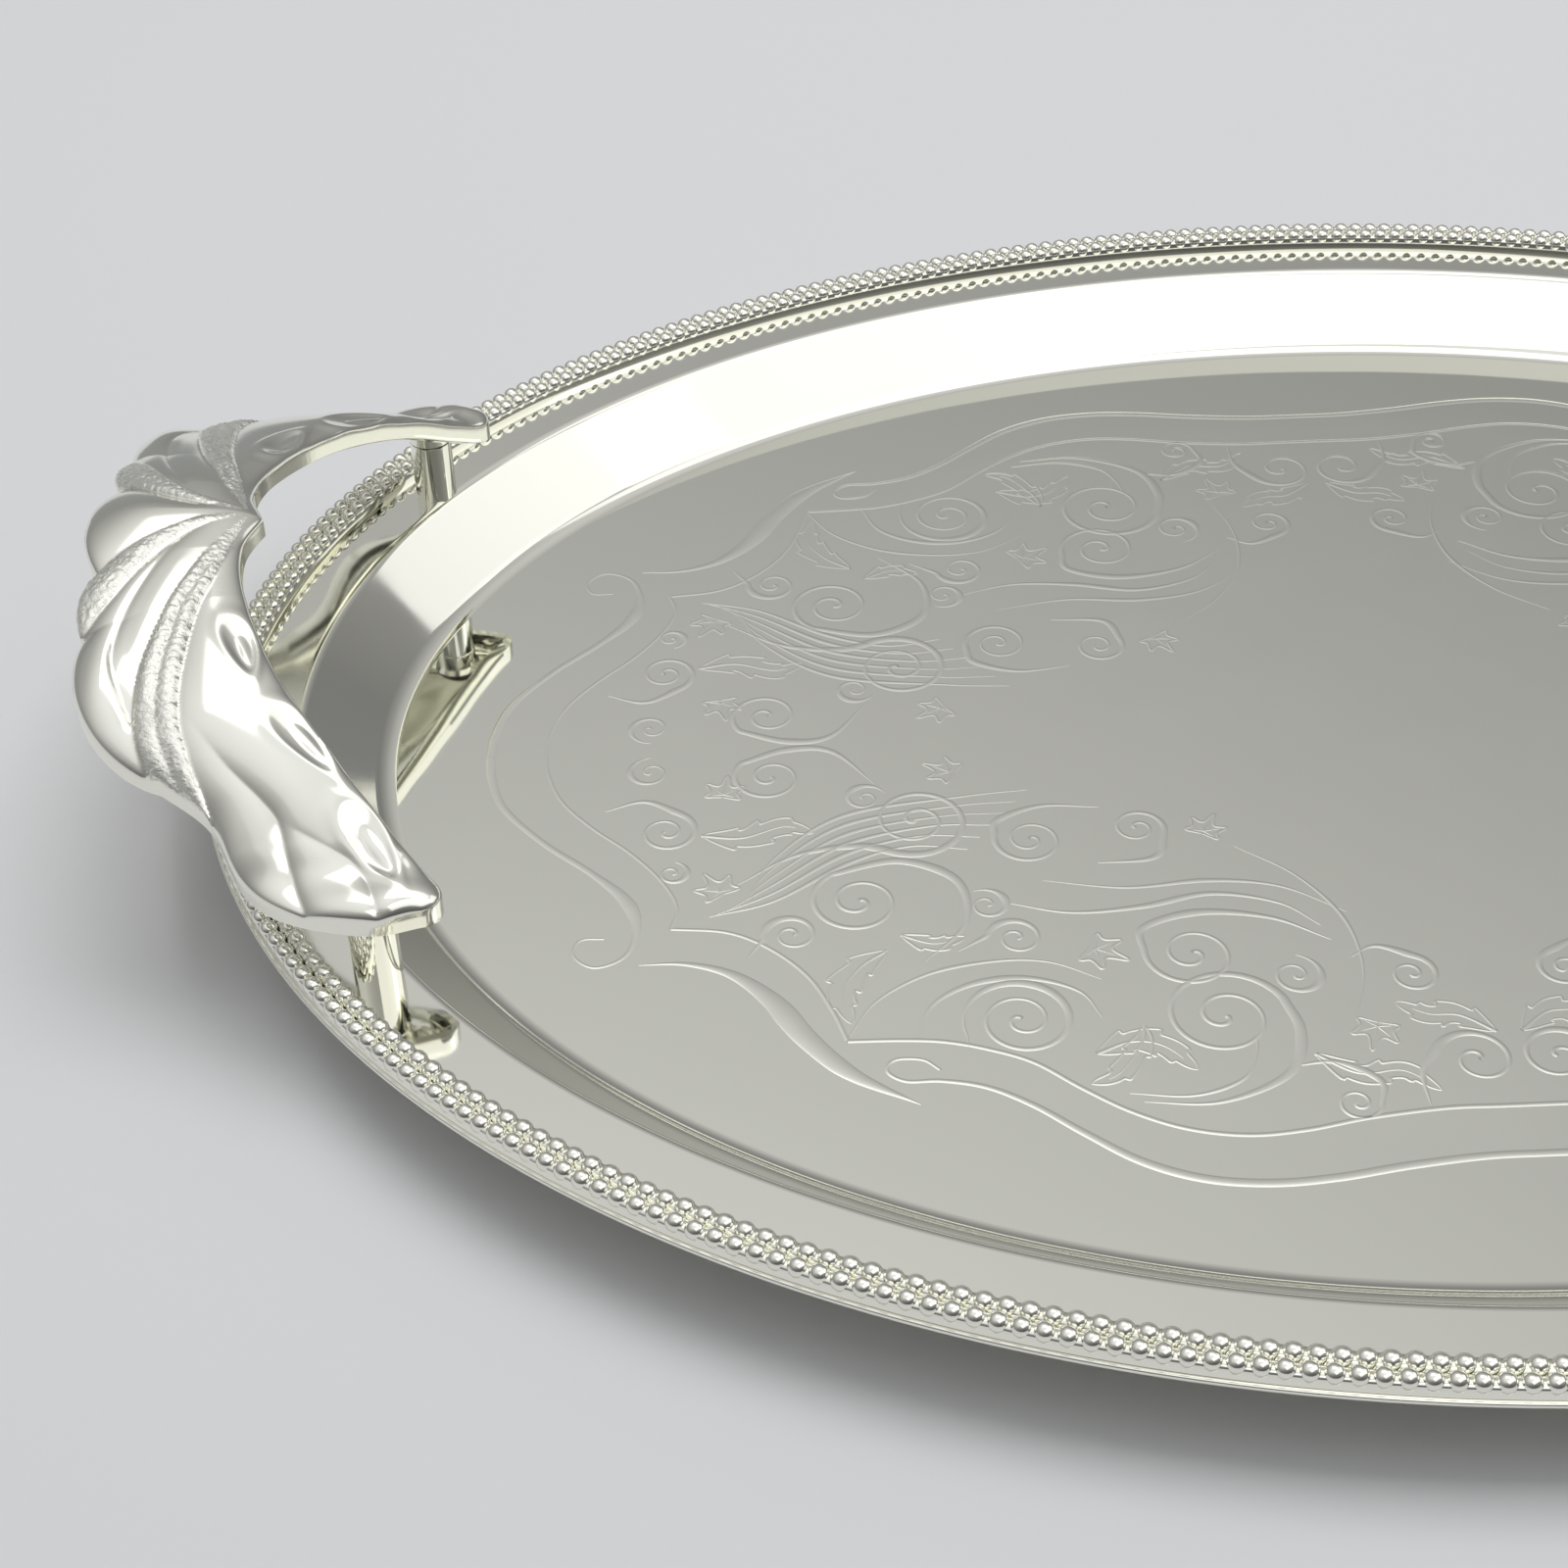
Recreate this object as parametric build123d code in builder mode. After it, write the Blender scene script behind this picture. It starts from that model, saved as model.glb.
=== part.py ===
"""Oval serving tray, silver plated, with two cast handles raised on pillars.

Frame: the tray stands on z = 0, +X is along its length, +Y across it and +Z up.
The origin is below the middle of the floor. All sizes are in millimetres.
"""
from build123d import *
import math
import os

os.makedirs("parts", exist_ok=True)

# ---------------------------------------------------------------- driving dimensions
BODY_LENGTH = 430.0          # outside of the oval pan, handles not counted
BODY_WIDTH = 328.0
SHEET = 1.0                  # thickness of the pressed sheet
BRIM_TOP = 14.0              # height of the flat brim above the table

LIP_ROUND = 0.4              # both corners of the brim's outer edge
SHOULDER_INSET = 16.8        # outside edge to the corner where the wall drops from the brim
FLOOR_INSET = 30.0           # outside edge to the corner where the wall meets the floor
SHOULDER_RADIUS = 2.4        # on the upper face
FLOOR_RADIUS = 5.0

BEAD_WIDTH = 2.9             # width of one row of beads
OUTER_BEAD_INSET = 0.4       # outside edge to the outer side of the outer row
BEAD_TOP = 17.7              # height of both rows
BEAD_ROUND = 1.2

PILLAR_DIAMETER = 8.0
PILLAR_HEIGHT = 12.0
PILLAR_OUT = 179.2           # pillar axis, from the middle of the tray along the length
PILLAR_ACROSS = 69.6         # and across it

THREAD = 3.0                 # M3 screws hold the handles through the brim
CLEARANCE = 3.4
SCREW_LENGTH = 18.0
SCREW_HEAD_DIAMETER = 5.5
SCREW_HEAD_HEIGHT = 2.1
RECESS_LENGTH = 3.2
RECESS_WIDTH = 0.8
RECESS_DEPTH = 1.2
WASHER_DIAMETER = 6.0
WASHER_THICKNESS = 0.5

HANDLE_WALL = 2.2            # thickness of the cast shell
HANDLE_DEPTH = 7.5           # bottom rim to the crown
BOSS_DIAMETER = 8.0

# ---------------------------------------------------------------- derived sizes
HALF_LENGTH = BODY_LENGTH / 2
HALF_WIDTH = BODY_WIDTH / 2
BRIM_UNDER = BRIM_TOP - SHEET
WALL_ANGLE = math.atan2(BRIM_TOP - SHEET, FLOOR_INSET - SHOULDER_INSET)
SHEET_SHIFT = SHEET * math.tan(WALL_ANGLE / 2)       # the sheet's inner corner sits beside its outer one
INNER_BEAD_INSET = OUTER_BEAD_INSET + BEAD_WIDTH
HANDLE_SEAT = BRIM_TOP + PILLAR_HEIGHT
PILLARS = [(i * PILLAR_OUT, j * PILLAR_ACROSS) for i in (-1, 1) for j in (-1, 1)]

# Half of the handle seen from above, as (outward from the tray's middle, across).
CROWN_EDGE = (229.5, 0.0)
CROWN_LOBE = (228.6, 7.0)
CROWN_NOTCH = (226.0, 12.5)
RIB_END = (228.2, 20.0)
SIDE_NOTCH = (226.6, 27.0)
SIDE_LOBE = (225.0, 42.0)
WAIST = (212.0, 52.5)
LEG_OUTER = [(204.0, 58.0), (199.0, 66.0), (190.0, 72.6), (178.5, 75.6)]
TIP_START = (170.5, 74.0)
TIP = (167.6, 71.2)
TIP_END = (168.6, 67.6)
LEG_INNER = [(175.5, 60.5), (184.0, 50.5), (194.0, 36.0), (200.6, 20.0), (202.4, 8.5)]
INNER_KNOB = (199.8, 0.0)
# The hollow under the crown keeps the shell about as thick all round.
HOLLOW_OUTER = [(224.8, 0.0), (223.8, 13.0), (224.0, 26.0), (220.6, 40.0), (210.6, 50.4), (201.8, 57.6),
                (196.8, 65.4), (188.8, 70.8), (178.6, 73.2), (172.0, 72.0)]
HOLLOW_TIP = (169.9, 70.8)
HOLLOW_INNER = [(170.6, 68.4), (177.2, 61.9), (185.8, 52.0), (195.9, 37.4), (202.8, 20.6), (204.6, 8.8), (203.4, 0.0)]
# The bottom rim of the handle, as (across, height).
RIM_CURVE = [(0.0, 50.5), (13.0, 49.4), (27.0, 46.2), (42.0, 41.6), (54.0, 35.8), (63.0, 29.2)]
RIM_FLAT_FROM = 68.0


# ---------------------------------------------------------------- the pressed pan
def oval(inset):
    """An oval inset from the outside edge of the pan, in the sketch being built."""
    return Ellipse(HALF_LENGTH - inset, HALF_WIDTH - inset)


with BuildPart() as tray_pan:
    # Flat brim.
    with BuildSketch(Plane.XY.offset(BRIM_UNDER)):
        oval(0)
    extrude(amount=SHEET)
    # Outside of the well.
    with BuildSketch(Plane.XY):
        oval(FLOOR_INSET - SHEET_SHIFT)
    with BuildSketch(Plane.XY.offset(BRIM_UNDER)):
        oval(SHOULDER_INSET - SHEET_SHIFT)
    loft(ruled=True)
    # Inside of the well.
    with BuildSketch(Plane.XY.offset(SHEET)):
        oval(FLOOR_INSET)
    with BuildSketch(Plane.XY.offset(BRIM_TOP)):
        oval(SHOULDER_INSET)
    loft(ruled=True, mode=Mode.SUBTRACT)
    # Rounded shoulder and rounded foot of the wall, the same thickness all the way.
    rings = tray_pan.edges().filter_by(GeomType.ELLIPSE)
    fillet(rings.filter_by(lambda e: abs(e.bounding_box().max.Z - BRIM_TOP) < 0.01
                           and e.bounding_box().max.X < HALF_LENGTH - SHOULDER_INSET + 1), SHOULDER_RADIUS)
    fillet(tray_pan.edges().filter_by(lambda e: abs(e.bounding_box().max.Z - SHEET) < 0.01
                                      and abs(e.bounding_box().min.Z - SHEET) < 0.01), FLOOR_RADIUS)
    fillet(tray_pan.edges().filter_by(lambda e: abs(e.bounding_box().max.Z) < 0.01), FLOOR_RADIUS + SHEET)
    fillet(tray_pan.edges().filter_by(lambda e: abs(e.bounding_box().min.Z - e.bounding_box().max.Z) < 0.01
                                      and e.bounding_box().max.X > HALF_LENGTH - 0.01), LIP_ROUND)
    with Locations([(x, y, BRIM_TOP) for x, y in PILLARS]):
        Hole(radius=CLEARANCE / 2)
tray_pan.part.label = "tray_pan"


# ---------------------------------------------------------------- the two beaded wires
def bead_wire(name, inset):
    """A ring that carries one row of beads, soldered on the brim."""
    with BuildPart() as ring:
        with BuildSketch(Plane.XY.offset(BRIM_TOP)):
            oval(inset)
            Ellipse(HALF_LENGTH - inset - BEAD_WIDTH, HALF_WIDTH - inset - BEAD_WIDTH, mode=Mode.SUBTRACT)
        extrude(amount=BEAD_TOP - BRIM_TOP)
        fillet(ring.edges().group_by(Axis.Z)[-1], BEAD_ROUND)
    ring.part.label = name
    return ring.part


outer_bead_wire = bead_wire("outer_bead_wire", OUTER_BEAD_INSET)
inner_bead_wire = bead_wire("inner_bead_wire", INNER_BEAD_INSET)


# ---------------------------------------------------------------- the cast handles
def handle_plan(side):
    """The handle seen from above, as a sketch on the table plane."""
    def at(point):
        return (side * point[0], point[1])

    with BuildSketch(Plane.XY) as plan:
        with BuildLine():
            ThreePointArc(at(CROWN_EDGE), at(CROWN_LOBE), at(CROWN_NOTCH))
            ThreePointArc(at(CROWN_NOTCH), at(RIB_END), at(SIDE_NOTCH))
            ThreePointArc(at(SIDE_NOTCH), at(SIDE_LOBE), at(WAIST))
            Spline([at(p) for p in [WAIST] + LEG_OUTER + [TIP_START]])
            ThreePointArc(at(TIP_START), at(TIP), at(TIP_END))
            Spline([at(p) for p in [TIP_END] + LEG_INNER + [INNER_KNOB]])
            mirror(about=Plane.XZ)
        make_face()
    return plan.sketch


def hollow_plan(side):
    """The hollow of the handle seen from above."""
    def at(point):
        return (side * point[0], point[1])

    with BuildSketch(Plane.XY) as plan:
        with BuildLine():
            Spline([at(p) for p in HOLLOW_OUTER])
            ThreePointArc(at(HOLLOW_OUTER[-1]), at(HOLLOW_TIP), at(HOLLOW_INNER[0]))
            Spline([at(p) for p in HOLLOW_INNER])
            mirror(about=Plane.XZ)
        make_face()
    return plan.sketch


def rim_band(bottom, top):
    """The arch of the handle seen from the end of the tray, between two heights above its rim."""
    reach = 90.0
    with BuildSketch(Plane.YZ) as band:
        with BuildLine():
            low = [(y, z + bottom) for y, z in RIM_CURVE] + [(RIM_FLAT_FROM, HANDLE_SEAT + bottom)]
            high = [(y, z + top) for y, z in RIM_CURVE] + [(RIM_FLAT_FROM, HANDLE_SEAT + top)]
            Spline(low, tangents=[(1, 0), (1, 0)])
            Line(low[-1], (reach, low[-1][1]))
            Line((reach, low[-1][1]), (reach, high[-1][1]))
            Line((reach, high[-1][1]), high[-1])
            Spline(high, tangents=[(1, 0), (1, 0)])
            mirror(about=Plane.YZ)
        make_face()
    return band.sketch


def cast_handle(name, side):
    """A hollow arch, open below, with a threaded boss over each pillar."""
    tall = 2 * HANDLE_SEAT + HANDLE_DEPTH
    reach = CROWN_EDGE[0] + SHEET
    outward = (side, 0, 0)
    with BuildPart() as core:
        extrude(hollow_plan(side), amount=tall, dir=(0, 0, 1))
        extrude(rim_band(-SHEET, HANDLE_DEPTH - HANDLE_WALL), amount=reach, dir=outward, mode=Mode.INTERSECT)
    with BuildPart() as handle:
        extrude(handle_plan(side), amount=tall, dir=(0, 0, 1))
        extrude(rim_band(0, HANDLE_DEPTH), amount=reach, dir=outward, mode=Mode.INTERSECT)
        add(core.part, mode=Mode.SUBTRACT)
        for y in (-PILLAR_ACROSS, PILLAR_ACROSS):
            with BuildSketch(Plane.XY.offset(HANDLE_SEAT)):
                with Locations((side * PILLAR_OUT, y)):
                    Circle(BOSS_DIAMETER / 2)
                    Circle(THREAD / 2, mode=Mode.SUBTRACT)
            extrude(amount=HANDLE_DEPTH - HANDLE_WALL / 2)
    handle.part.label = name
    return handle.part


handle_left = cast_handle("handle_left", -1)
handle_right = cast_handle("handle_right", 1)


# ---------------------------------------------------------------- pillars and fasteners
def pillar(name, x, y):
    """A turned spacer between the brim and the handle."""
    with BuildPart() as post:
        with BuildSketch(Plane.XY.offset(BRIM_TOP)):
            with Locations((x, y)):
                Circle(PILLAR_DIAMETER / 2)
                Circle(CLEARANCE / 2, mode=Mode.SUBTRACT)
        extrude(amount=PILLAR_HEIGHT)
    post.part.label = name
    return post.part


def washer(name, x, y):
    """A plain washer against the underside of the brim."""
    with BuildPart() as ring:
        with BuildSketch(Plane.XY.offset(BRIM_UNDER - WASHER_THICKNESS)):
            with Locations((x, y)):
                Circle(WASHER_DIAMETER / 2)
                Circle(CLEARANCE / 2, mode=Mode.SUBTRACT)
        extrude(amount=WASHER_THICKNESS)
    ring.part.label = name
    return ring.part


def screw(name, x, y):
    """A pan-head screw with a cross recess, driven upward into the handle's boss."""
    head_bottom = BRIM_UNDER - WASHER_THICKNESS - SCREW_HEAD_HEIGHT
    with BuildPart() as bolt:
        with BuildSketch(Plane.XY.offset(head_bottom)):
            with Locations((x, y)):
                Circle(SCREW_HEAD_DIAMETER / 2)
        extrude(amount=SCREW_HEAD_HEIGHT)
        fillet(bolt.edges().group_by(Axis.Z)[0], SCREW_HEAD_HEIGHT / 3)
        with BuildSketch(Plane.XY.offset(head_bottom + SCREW_HEAD_HEIGHT)):
            with Locations((x, y)):
                Circle(THREAD / 2)
        extrude(amount=SCREW_LENGTH)
        with BuildSketch(Plane.XY.offset(head_bottom)):
            with Locations((x, y)):
                Rectangle(RECESS_LENGTH, RECESS_WIDTH)
                Rectangle(RECESS_WIDTH, RECESS_LENGTH)
        extrude(amount=RECESS_DEPTH, mode=Mode.SUBTRACT)
    bolt.part.label = name
    return bolt.part


parts = [tray_pan.part, outer_bead_wire, inner_bead_wire, handle_left, handle_right]
for x, y in PILLARS:
    place = ("right" if x > 0 else "left") + "_" + ("rear" if y > 0 else "front")
    parts += [pillar("pillar_" + place, x, y), washer("washer_" + place, x, y), screw("screw_" + place, x, y)]

for piece in parts:
    export_step(piece, f"parts/{piece.label}.step")
    print(f"{piece.label:20s} {piece.volume:10.1f} mm3  {piece.bounding_box().size}")
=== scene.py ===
"""Looks of the oval silver-plated serving tray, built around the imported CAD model.

Everything is modelled here in millimetres in the tray's own frame (z = 0 on the table, +X along
the length, +Y across) and turned into metres when a mesh is made. Materials, lights and the world
work in metres.
"""

import math

import bpy
import numpy as np
from mathutils import Matrix, Vector


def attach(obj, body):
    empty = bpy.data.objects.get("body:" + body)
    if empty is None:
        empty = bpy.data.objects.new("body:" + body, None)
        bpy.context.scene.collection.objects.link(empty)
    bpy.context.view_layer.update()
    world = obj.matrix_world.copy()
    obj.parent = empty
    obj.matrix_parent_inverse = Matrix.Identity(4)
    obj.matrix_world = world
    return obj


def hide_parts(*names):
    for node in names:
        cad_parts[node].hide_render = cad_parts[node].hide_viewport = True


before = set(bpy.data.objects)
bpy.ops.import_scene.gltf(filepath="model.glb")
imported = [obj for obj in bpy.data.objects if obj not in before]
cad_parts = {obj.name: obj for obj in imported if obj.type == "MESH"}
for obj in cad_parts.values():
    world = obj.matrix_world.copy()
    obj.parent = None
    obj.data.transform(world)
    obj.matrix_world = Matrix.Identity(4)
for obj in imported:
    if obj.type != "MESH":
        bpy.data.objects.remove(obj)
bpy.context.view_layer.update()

MM = 0.001

# ---------------------------------------------------------------- sizes shared with the CAD source
HALF_LENGTH, HALF_WIDTH = 215.0, 164.0
SHEET = 1.0
BRIM_TOP = 14.0
LIP_ROUND = 0.4
SHOULDER_INSET, FLOOR_INSET = 16.8, 30.0
BEAD_WIDTH = 2.9
BEAD_PITCH = 3.22
BEAD_TOP = 17.7
OUTER_BEAD_INSET = 0.4
INNER_BEAD_INSET = OUTER_BEAD_INSET + BEAD_WIDTH
PILLAR_OUT, PILLAR_ACROSS = 179.2, 69.6
HANDLE_SEAT, HANDLE_DEPTH, HANDLE_WALL = 26.0, 7.5, 2.2
BOSS_RADIUS = 4.0


# ---------------------------------------------------------------- mesh helpers
def make_piece(name, verts, faces, materials, replaces=(), sharp=None, face_material=None):
    """A mesh object in the row frame, riding on the tray's single body."""
    mesh = bpy.data.meshes.new(name)
    mesh.from_pydata((np.asarray(verts, float) * MM).tolist(), [], faces)
    mesh.validate()
    for material in materials:
        mesh.materials.append(material)
    if face_material is not None:
        mesh.polygons.foreach_set("material_index", np.asarray(face_material, np.int32))
    mesh.polygons.foreach_set("use_smooth", [True] * len(mesh.polygons))
    if sharp is not None:
        mesh.set_sharp_from_angle(angle=math.radians(sharp))
    mesh.update()
    piece = bpy.data.objects.new(name, mesh)
    bpy.context.scene.collection.objects.link(piece)
    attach(piece, "root")
    if replaces:
        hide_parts(*replaces)
    return piece


def grid_faces(rows, cols, start=0, close_rows=False, close_cols=False):
    """Quads of a grid of vertices stored row by row."""
    r = np.arange(rows if close_rows else rows - 1)
    c = np.arange(cols if close_cols else cols - 1)
    rr, cc = np.meshgrid(r, c, indexing="ij")
    r2, c2 = (rr + 1) % rows, (cc + 1) % cols
    quads = np.stack([rr * cols + cc, rr * cols + c2, r2 * cols + c2, r2 * cols + cc], -1)
    return (quads.reshape(-1, 4) + start).tolist()


def smoothstep(low, high, value):
    """0 at low, 1 at high and an even ease between them."""
    t = np.clip((value - low) / (high - low), 0.0, 1.0)
    return t * t * (3 - 2 * t)


def table_value(where, table):
    """Values between those of a table of (place, value) pairs."""
    return np.interp(where, [p[0] for p in table], [p[1] for p in table])


def through(points, steps=12):
    """A smooth curve through the points (Catmull-Rom)."""
    p = np.asarray(points, float)
    p = np.vstack([2 * p[0] - p[1], p, 2 * p[-1] - p[-2]])
    t = np.linspace(0, 1, steps, endpoint=False)[:, None]
    out = []
    for a, b, c, d in zip(p[:-3], p[1:-2], p[2:-1], p[3:]):
        out.append(0.5 * (2 * b + (c - a) * t + (2 * a - 5 * b + 4 * c - d) * t**2
                          + (3 * b - a - 3 * c + d) * t**3))
    return np.vstack(out + [p[-2:-1]])


def arc(start, middle, end, steps=24):
    """Points on the circle through three points, from the first to the last."""
    a, b, c = (complex(*q) for q in (start, middle, end))
    w = (c - a) / (b - a)
    centre = (b - a) * (w - abs(w) ** 2) / (2j * w.imag) + a
    first, last = np.angle(a - centre), np.angle(c - centre)
    through_middle = np.angle((b - centre) / (a - centre))
    sweep = (last - first) % (2 * math.pi)
    if (through_middle % (2 * math.pi)) > sweep:
        sweep -= 2 * math.pi
    turns = first + np.linspace(0, sweep, steps)
    radius = abs(a - centre)
    return np.stack([centre.real + radius * np.cos(turns), centre.imag + radius * np.sin(turns)], -1)


def run_along(points):
    """How far along the polyline each of its points lies."""
    steps = np.linalg.norm(np.diff(np.asarray(points, float), axis=0), axis=1)
    return np.concatenate([[0], np.cumsum(steps)])


def resample(points, count):
    """The same polyline with its points evenly spaced."""
    p = np.asarray(points, float)
    run = run_along(p)
    at = np.linspace(0, run[-1], count)
    return np.stack([np.interp(at, run, p[:, k]) for k in range(p.shape[1])], -1)


def directions(line):
    """Unit vectors along a polyline, and across it to the left."""
    way = np.gradient(line, axis=0)
    way /= np.linalg.norm(way, axis=1)[:, None].clip(1e-9)
    return way, np.stack([-way[:, 1], way[:, 0]], -1)


def along(points, line):
    """Each point's distance from the polyline, positive on its left, and its place along it, 0 to 1."""
    line = np.asarray(line, float)
    best = np.full(len(points), np.inf)
    signed, where = np.zeros(len(points)), np.zeros(len(points))
    run = run_along(line)
    for k, (a, b) in enumerate(zip(line[:-1], line[1:])):
        d = b - a
        size = np.linalg.norm(d)
        t = np.clip(((points - a) @ d) / size**2, 0, 1)
        off = points - (a + t[:, None] * d)
        gap = np.linalg.norm(off, axis=1)
        nearer = gap < best
        best = np.where(nearer, gap, best)
        side = np.sign(d[0] * off[:, 1] - d[1] * off[:, 0])
        signed = np.where(nearer, gap * side, signed)
        where = np.where(nearer, (run[k] + t * size) / run[-1], where)
    return signed, where


def rounded_path(corners, guard=0.35):
    """A polyline with rounded corners, each given as (inset, height, radius).

    A short straight of the guard's length stays on both sides of each round, to keep the shading flat
    beyond it.
    """
    steps = 8
    pts = [np.array(c[:2], float) for c in corners]
    path = [pts[0]]
    for k in range(1, len(pts) - 1):
        before, here, after = pts[k - 1], pts[k], pts[k + 1]
        radius = corners[k][2]
        u = (before - here) / np.linalg.norm(before - here)
        v = (after - here) / np.linalg.norm(after - here)
        angle = math.acos(float(np.clip(u @ v, -1, 1)))
        reach = radius / math.tan(angle / 2)
        start, end = here + u * reach, here + v * reach
        middle = (u + v) / np.linalg.norm(u + v)
        centre = here + middle * radius / math.sin(angle / 2)
        path.append(start + u * guard)
        a, b = start - centre, end - centre
        turn = math.pi - angle
        for s in np.linspace(0, 1, steps):
            swing = (math.sin((1 - s) * turn) * a + math.sin(s * turn) * b) / math.sin(turn)
            path.append(centre + swing)
        path.append(end + v * guard)
    path.append(pts[-1])
    return path


# ---------------------------------------------------------------- materials
def add_node(tree, kind, inputs, **settings):
    """A shader node; each input is given a value, or linked when it is given another node's output."""
    node = tree.nodes.new("ShaderNode" + kind)
    for setting, value in settings.items():
        setattr(node, setting, value)
    for socket, value in inputs.items():
        if isinstance(value, bpy.types.NodeSocket):
            tree.links.new(value, node.inputs[socket])
        else:
            node.inputs[socket].default_value = value
    return node


def remap(tree, value, source, target=(0.0, 1.0), **settings):
    """The value moved from its source range to the target range and held inside it."""
    inputs = {"Value": value, "From Min": source[0], "From Max": source[1],
              "To Min": target[0], "To Max": target[1]}
    return add_node(tree, "MapRange", inputs, **settings).outputs["Result"]


def calculate(tree, operation, first, second):
    """The result of one arithmetic operation on two outputs."""
    return add_node(tree, "Math", {0: first, 1: second}, operation=operation).outputs["Value"]


def floor_polish(tree, place):
    """How satin the floor is: fully inside the pattern's frame, hardly at all along its foot."""
    foot = ((HALF_LENGTH - FLOOR_INSET) * MM, (HALF_WIDTH - FLOOR_INSET) * MM)
    oval = add_node(tree, "Mapping", {"Vector": place, "Scale": (1 / foot[0], 1 / foot[1], 0)})
    reach = add_node(tree, "VectorMath", {0: oval.outputs["Vector"]}, operation="LENGTH")
    return remap(tree, reach.outputs["Value"], (0.74, 0.88), (1.0, 0.22), interpolation_type="SMOOTHSTEP")


def silver(name, colour, roughness, spread, waviness, scratch, mirror_foot=False, swell_scale=24.0):
    """Metal with uneven polish, a slightly wavy face (in mm) and fine rubbing marks."""
    material = bpy.data.materials.new(name)
    material.use_nodes = True
    tree = material.node_tree
    shader = tree.nodes["Principled BSDF"]
    shader.inputs["Base Color"].default_value = (*colour, 1)
    shader.inputs["Metallic"].default_value = 1.0
    place = add_node(tree, "TexCoord", {}).outputs["Object"]

    # Clouds of more and of less polish, with fine marks all rubbed in one direction over them.
    cloud = add_node(tree, "TexNoise", {"Vector": place, "Scale": 55.0, "Detail": 5.0})
    polish = remap(tree, cloud.outputs["Fac"], (0.3, 0.7), (roughness, roughness + spread))
    stretch = add_node(tree, "Mapping",
                       {"Vector": place, "Rotation": (0, 0, 0.5), "Scale": (70, 2600, 2600)})
    rub = add_node(tree, "TexNoise", {"Vector": stretch.outputs["Vector"], "Scale": 1.0, "Detail": 3.0})
    marks = remap(tree, rub.outputs["Fac"], (0.62, 0.74), (0.0, scratch))
    total = calculate(tree, "ADD", polish, marks)
    if mirror_foot:
        total = calculate(tree, "MULTIPLY", total, floor_polish(tree, place))
    tree.links.new(total, shader.inputs["Roughness"])

    # The face is never quite flat, which bends what it mirrors.
    swell = add_node(tree, "TexNoise", {"Vector": place, "Scale": swell_scale, "Detail": 2.0})
    bump = add_node(tree, "Bump",
                    {"Strength": 1.0, "Distance": waviness * MM, "Height": swell.outputs["Fac"]})
    tree.links.new(bump.outputs["Normal"], shader.inputs["Normal"])
    return material


# Name, colour, roughness, how much it varies, waviness in mm, rubbing marks.
SILVER = (0.94, 0.935, 0.85)
mirror = silver("silver_mirror", SILVER, 0.05, 0.05, 0.03, 0.04)
satin = silver("silver_satin", (0.90, 0.905, 0.82), 0.15, 0.05, 0.06, 0.04, mirror_foot=True)
embossed = silver("silver_embossed", (0.92, 0.92, 0.84), 0.16, 0.06, 0.02, 0.05)
cast = silver("silver_cast", SILVER, 0.09, 0.07, 0.04, 0.05)
punched = silver("silver_punched", (0.95, 0.945, 0.87), 0.30, 0.10, 0.16, 0.05, swell_scale=1700.0)
beads = silver("silver_beads", SILVER, 0.05, 0.05, 0.02, 0.03)
turned = silver("silver_turned", SILVER, 0.04, 0.03, 0.01, 0.05)
steel = silver("fastener_steel", (0.62, 0.61, 0.60), 0.28, 0.12, 0.01, 0.1)

# ---------------------------------------------------------------- the pressed pan
SHOULDER_ROUND, FLOOR_ROUND = 2.4, 5.0
LIP_GUARD = 0.09
SEAM_INSET = 3.0  # where the paths of the top and of the underside meet, under the brim
FLAT_INSET = 40.0  # where the floor's rings start to shrink towards its middle
FLOOR_SHARES = [0.93, 0.8, 0.6, 0.4, 0.2, 0.05]
AROUND = 720
angles = np.linspace(0, 2 * math.pi, AROUND, endpoint=False)


def oval_ring(inset, height, scale=1.0):
    """Points round the tray at a distance in from its edge."""
    return np.stack([(HALF_LENGTH - inset) * scale * np.cos(angles),
                     (HALF_WIDTH - inset) * scale * np.sin(angles), np.full(AROUND, height)], -1)


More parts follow.
